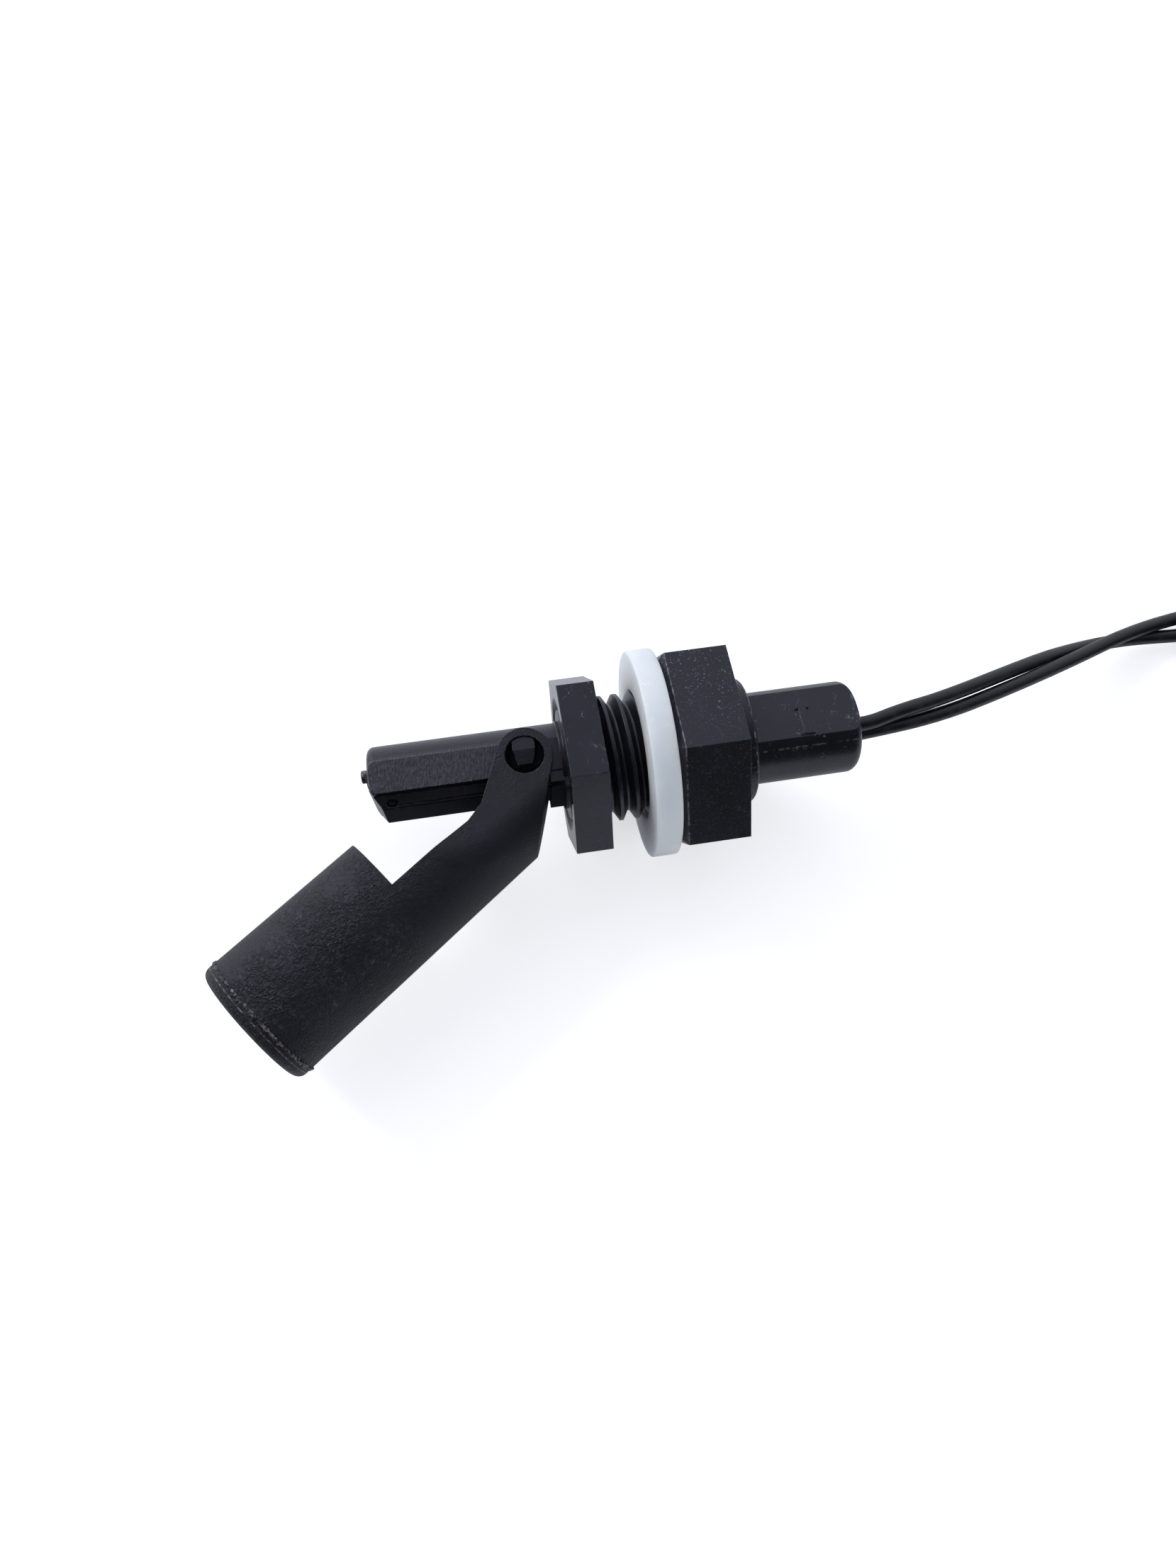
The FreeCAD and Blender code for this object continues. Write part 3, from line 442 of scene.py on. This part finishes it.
def silicone():
    """Milky silicone: a smooth rim with small scuffs, and paler, rougher faces."""
    milk, thin_milk = (0.61, 0.665, 0.715), (0.66, 0.70, 0.74)
    chalk, scuffed = (0.74, 0.73, 0.71), (0.92, 0.93, 0.94)
    f = Finish("milky_silicone")
    y, z = f.axes()[1:]
    radius = (y * y + z * z) ** 0.5
    face = 1 - radius.over(11.6 * MM, 11.9 * MM)
    cloud = f.grain(4 * MM).over(0.3, 0.7)
    scuffs = f.scratches(1.4 * MM, 0.03)
    grit = f.grain(0.35 * MM, detail=4, rough=0.65)
    tone = f.blend(cloud, milk, thin_milk)
    tone = f.blend(face * grit.over(0.35, 0.7), tone, chalk)
    f.set(
        Base_Color=f.blend(scuffs * 0.5, tone, scuffed),
        Roughness=0.38 + cloud * 0.1 + face * 0.25,
        Subsurface_Weight=0.9,
        Subsurface_Radius=(1.0, 1.05, 1.15),
        Subsurface_Scale=3.5 * MM,
        IOR=1.41,
        Normal=f.bump(grit * (face * 0.9 + 0.15) + scuffs * 0.4, 0.05 * MM, f.edges(0.25 * MM)[0]),
    )
    return f.material


def insulation():
    """Black lead insulation with a soft sheen and faint rubbed patches."""
    f = Finish("lead_insulation_black")
    rub = f.grain(1.6 * MM, detail=4).over(0.5, 0.7)
    f.set(
        Base_Color=f.blend(rub, (0.004, 0.004, 0.006), (0.010, 0.010, 0.014)),
        Roughness=0.36 + rub * 0.16,
        Normal=f.bump(f.grain(0.35 * MM, detail=2), 0.012 * MM),
    )
    return f.material


def metal(name, colour, roughness, streaks=(1, 1, 1)):
    """Drawn or soldered metal, dulled in streaks."""
    f = Finish(name)
    line = f.grain(0.1 * MM, detail=3, where=f.place(stretch=streaks))
    f.set(
        Base_Color=f.blend(line.over(0.35, 0.7), colour, [c * 0.7 for c in colour]),
        Metallic=1.0,
        Roughness=roughness + line * 0.2,
        Normal=f.bump(line, 0.01 * MM),
    )
    return f.material


def capsule_glass():
    """Greenish reed-switch glass."""
    f = Finish("capsule_glass")
    cloud = f.grain(3 * MM).over(0.3, 0.7)
    f.set(
        Base_Color=f.blend(cloud, (0.82, 0.93, 0.86), (0.9, 0.97, 0.92)),
        Roughness=0.04,
        Transmission_Weight=0.9,
        IOR=1.5,
        Normal=f.bump(f.grain(1.5 * MM), 0.01 * MM),
    )
    return f.material


def resin():
    """Dark potting resin with a fill that shows as fine grains."""
    f = Finish("potting_resin")
    fill = f.grain(0.15 * MM, detail=4).over(0.5, 0.7)
    f.set(
        Base_Color=f.blend(fill, (0.012, 0.012, 0.014), (0.035, 0.035, 0.04)),
        Roughness=0.22 + fill * 0.3,
        Normal=f.bump(f.grain(1.2 * MM, detail=2), 0.08 * MM),
    )
    return f.material


def ferrite():
    """Dull dark magnet with a granular face."""
    f = Finish("ferrite_magnet")
    grain = f.grain(0.12 * MM, detail=5, rough=0.7)
    f.set(
        Base_Color=f.blend(grain.over(0.4, 0.7), (0.03, 0.03, 0.033), (0.08, 0.08, 0.085)),
        Roughness=0.5 + grain * 0.25,
        Metallic=grain.over(0.55, 0.8) * 0.4,
        Normal=f.bump(grain, 0.03 * MM),
    )
    return f.material


def braided_sleeve():
    """White woven glass sleeve on the return wire."""
    f = Finish("woven_sleeve")
    slant = {"bands_direction": "DIAGONAL"}
    weave = f.node("TexWave", slant, output="Fac", Vector=f.place(), Scale=900, Distortion=1.5)
    f.set(
        Base_Color=f.blend(weave, (0.62, 0.6, 0.55), (0.82, 0.8, 0.76)),
        Roughness=0.7 + weave * 0.2,
        Normal=f.bump(weave, 0.03 * MM),
    )
    return f.material


moulding = body_black()
nut = nut_black()
shell = float_black()
flash = flash_black()
tinned = metal("tinned_strands", (0.75, 0.74, 0.72), 0.25)
blade = metal("nickel_iron_blade", (0.55, 0.53, 0.5), 0.3, streaks=(0.1, 1, 1))
solder = metal("solder_blob", (0.66, 0.66, 0.68), 0.2)

FINISHES = {
    "switch_body": moulding,
    "lock_nut": nut,
    "float_shell": shell,
    "float_end_cap": shell,
    "float_magnet": ferrite(),
    "reed_glass": capsule_glass(),
    "near_reed_blade": blade,
    "far_reed_blade": blade,
    "return_wire": tinned,
    "return_sleeve": braided_sleeve(),
    "far_solder_joint": solder,
    "solder_joint_a": solder,
    "solder_joint_b": solder,
    "potting_plug": resin(),
    "tinned_end_a": tinned,
    "tinned_end_b": tinned,
}


def paint(piece, material):
    """Gives a piece one material, in place of any that it has."""
    piece.data.materials.clear()
    piece.data.materials.append(material)


for node, material in FINISHES.items():
    paint(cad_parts[node], material)
lead_black = insulation()
for piece in (lead_a, lead_b):
    paint(piece, lead_black)


# ---------------------------------------------------------------- pieces beyond the frame

THREAD_RADIUS = 8.0 * MM
WASHER_CLEARANCE = 0.06 * MM
BORE_DEPTH = 20 * MM
SHOULDER_START = 8.3 * MM
SHOULDER_LENGTH = 2.3 * MM
SHOULDER_RADIUS = 7.75 * MM
HINGE = Vector((HINGE_STATION, 0, 0))
DROOP = math.radians(34.85)
FLOAT_OFFSET = -1.2 * MM
SEAM_RADIUS = 8.28 * MM
SEAM_BEAD = 42.35 * MM
SEAM_LINE = 43.0 * MM
GATE = (-36.5 * MM, 1.25 * MM, 1.9 * MM)


def turned(name, kind, station, turn=0.0, **sizes):
    """A round primitive about the body's axis, or about the float's with its droop."""
    bpy.ops.object.select_all(action="DESELECT")
    making = getattr(bpy.ops.mesh, f"primitive_{kind}_add")
    making(location=station, rotation=(0, math.radians(90), turn), **sizes)
    piece = bpy.context.object
    piece.name = name
    bpy.ops.object.transform_apply(location=True, rotation=True, scale=True)
    return piece


def ring_of_flash(name, station, radius, thickness, segments, turn=0.0):
    """A thin ring of flash about an axis."""
    return turned(
        name,
        "torus",
        station,
        turn,
        major_segments=segments,
        minor_segments=8,
        major_radius=radius,
        minor_radius=thickness,
    )


def modified(piece, kind, **settings):
    """Adds a modifier to a piece and applies it."""
    modifier = piece.modifiers.new(kind.lower(), kind)
    for name, value in settings.items():
        setattr(modifier, name, value)
    bpy.context.view_layer.objects.active = piece
    bpy.ops.object.modifier_apply(modifier=modifier.name)


def roughened(offset, seed, smoothing=0):
    """Moves the vertices of the active piece at random, and smooths them that many times."""
    bpy.ops.object.mode_set(mode="EDIT")
    bpy.ops.mesh.select_all(action="SELECT")
    bpy.ops.transform.vertex_random(offset=offset, uniform=0.0, normal=0.0, seed=seed)
    if smoothing:
        bpy.ops.mesh.vertices_smooth(factor=0.5, repeat=smoothing)
    bpy.ops.object.mode_set(mode="OBJECT")


def fitted(piece, body, material, smooth=40):
    """Smooths a piece up to an angle, and gives it its body and its material."""
    piece.select_set(True)
    bpy.context.view_layer.objects.active = piece
    bpy.ops.object.shade_smooth_by_angle(angle=math.radians(smooth))
    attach(piece, body)
    paint(piece, material)


def washer():
    """Silicone washer that hugs the thread."""
    low, high = (Vector(corner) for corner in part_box("sealing_washer"))
    middle = (low + high) / 2
    thickness = high.x - low.x
    bore_radius = THREAD_RADIUS + WASHER_CLEARANCE
    ring = turned(
        "silicone_washer", "cylinder", middle, vertices=192, radius=high.z, depth=thickness
    )
    bore = turned(
        "washer_bore", "cylinder", middle, vertices=192, radius=bore_radius, depth=BORE_DEPTH
    )
    modified(ring, "BOOLEAN", operation="DIFFERENCE", object=bore, solver="EXACT")
    bpy.data.objects.remove(bore)
    modified(ring, "BEVEL", width=0.28 * MM, segments=4, limit_method="ANGLE")
    fitted(ring, "housing", silicone())
    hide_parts("sealing_washer")


def shoulder():
    """Round shoulder between the hexagon and the tail, with its rolled rim."""
    disc = turned(
        "tail_shoulder",
        "cylinder",
        (SHOULDER_START + SHOULDER_LENGTH / 2, 0, 0),
        vertices=160,
        radius=SHOULDER_RADIUS,
        depth=SHOULDER_LENGTH,
    )
    modified(disc, "BEVEL", width=0.45 * MM, segments=5, limit_method="ANGLE")
    fitted(disc, "housing", moulding)
    rim = (SHOULDER_START + SHOULDER_LENGTH - 0.35 * MM, 0, 0)
    lip = ring_of_flash("shoulder_flash", rim, SHOULDER_RADIUS - 0.1 * MM, 0.12 * MM, 160)
    fitted(lip, "housing", flash)


def on_float(along):
    """A point on the float's axis, that far from the hinge."""
    return HINGE + Vector((
        -along * math.cos(DROOP) - FLOAT_OFFSET * math.sin(DROOP),
        -along * math.sin(DROOP) + FLOAT_OFFSET * math.cos(DROOP),
        0,
    ))


def weld():
    """Flash pressed out of the float's welded seam: a ragged bead and a fine line beside it."""
    bead = ring_of_flash(
        "weld_flash", on_float(SEAM_BEAD), SEAM_RADIUS - 0.02 * MM, 0.2 * MM, 220, DROOP
    )
    roughened(0.2 * MM, seed=5)
    fitted(bead, "float", flash, smooth=25)
    line = ring_of_flash(
        "weld_line", on_float(SEAM_LINE), SEAM_RADIUS - 0.08 * MM, 0.11 * MM, 220, DROOP
    )
    fitted(line, "float", flash)


def gate_stub():
    """The torn stub of the moulding gate on the stem's end."""
    stub = turned("gate_stub", "cylinder", GATE, vertices=24, radius=0.8 * MM, depth=1.3 * MM)
    modified(stub, "BEVEL", width=0.18 * MM, segments=2, limit_method="ANGLE")
    modified(stub, "SUBSURF", subdivision_type="SIMPLE", levels=2, render_levels=2)
    roughened(0.05 * MM, seed=3, smoothing=2)
    fitted(stub, "housing", flash)


washer()
shoulder()
weld()
gate_stub()


# ---------------------------------------------------------------- floor, world and lamps

TABLE_SIZE = 1.2
TABLE_GLOW = 0.48  # in the camera's own rays only

# The room brightens from its near side to its far side, as its directions' Y grows.
ROOM_SPAN = (-0.6, 0.85)
ROOM_DIM = 0.04
ROOM_GAIN = 0.95


def floor():
    """A pale table top that reads white and keeps the shadow."""
    bpy.ops.object.select_all(action="DESELECT")
    bpy.ops.mesh.primitive_plane_add(size=TABLE_SIZE, location=(0, 0, FLOOR))
    table = bpy.context.object
    table.name = "table_top"
    f = Finish("table_white")
    seen = f.node("LightPath", output="Is Camera Ray")
    f.set(Base_Color=(0.84, 0.84, 0.87), Roughness=0.9, Specular_IOR_Level=0.0)
    glow = f.node("Emission", Color=(0.98, 0.98, 1.0), Strength=seen * TABLE_GLOW)
    surface = Value(f.tree, f.shader.outputs[0])
    both = add_node(f.tree, "AddShader", {}, {0: surface, 1: glow})
    feed(f.tree, f.tree.nodes["Material Output"].inputs["Surface"], both)
    paint(table, f.material)


def surroundings():
    """A room that is bright overhead and behind, and dim on the near side."""
    world = bpy.data.worlds.new("room")
    world.use_nodes = True
    scene.world = world
    f = Finish("room", world.node_tree)
    direction = f.node("TexCoord", output="Generated")
    y = f.node("SeparateXYZ", output="Y", Vector=direction)
    light = y.over(*ROOM_SPAN) * ROOM_GAIN + ROOM_DIM
    camera_ray = f.node("LightPath", output="Is Camera Ray")
    background = f.tree.nodes["Background"]
    feed(f.tree, background.inputs["Color"], f.blend(camera_ray, (0.86, 0.9, 1.0), (1, 1, 1)))
    feed(f.tree, background.inputs["Strength"], camera_ray + (1 - camera_ray) * light)


def lamp(name, place, size, watts, mirrored=True):
    """A soft square lamp that faces the origin; polished surfaces mirror it or not."""
    data = bpy.data.lights.new(name, "AREA")
    data.size = size
    data.energy = watts
    piece = bpy.data.objects.new(name, data)
    piece.location = place
    piece.rotation_euler = (-Vector(place)).to_track_quat("-Z", "Y").to_euler()
    piece.visible_glossy = mirrored
    scene.collection.objects.link(piece)


floor()
surroundings()
lamp("window", (-0.26, 0.34, 0.26), size=0.26, watts=1.5)
lamp("fill", (0.1, -0.4, 0.4), size=0.5, watts=1.7, mirrored=False)

scene.view_settings.view_transform = "Standard"


# ---------------------------------------------------------------- update

bpy.context.view_layer.update()
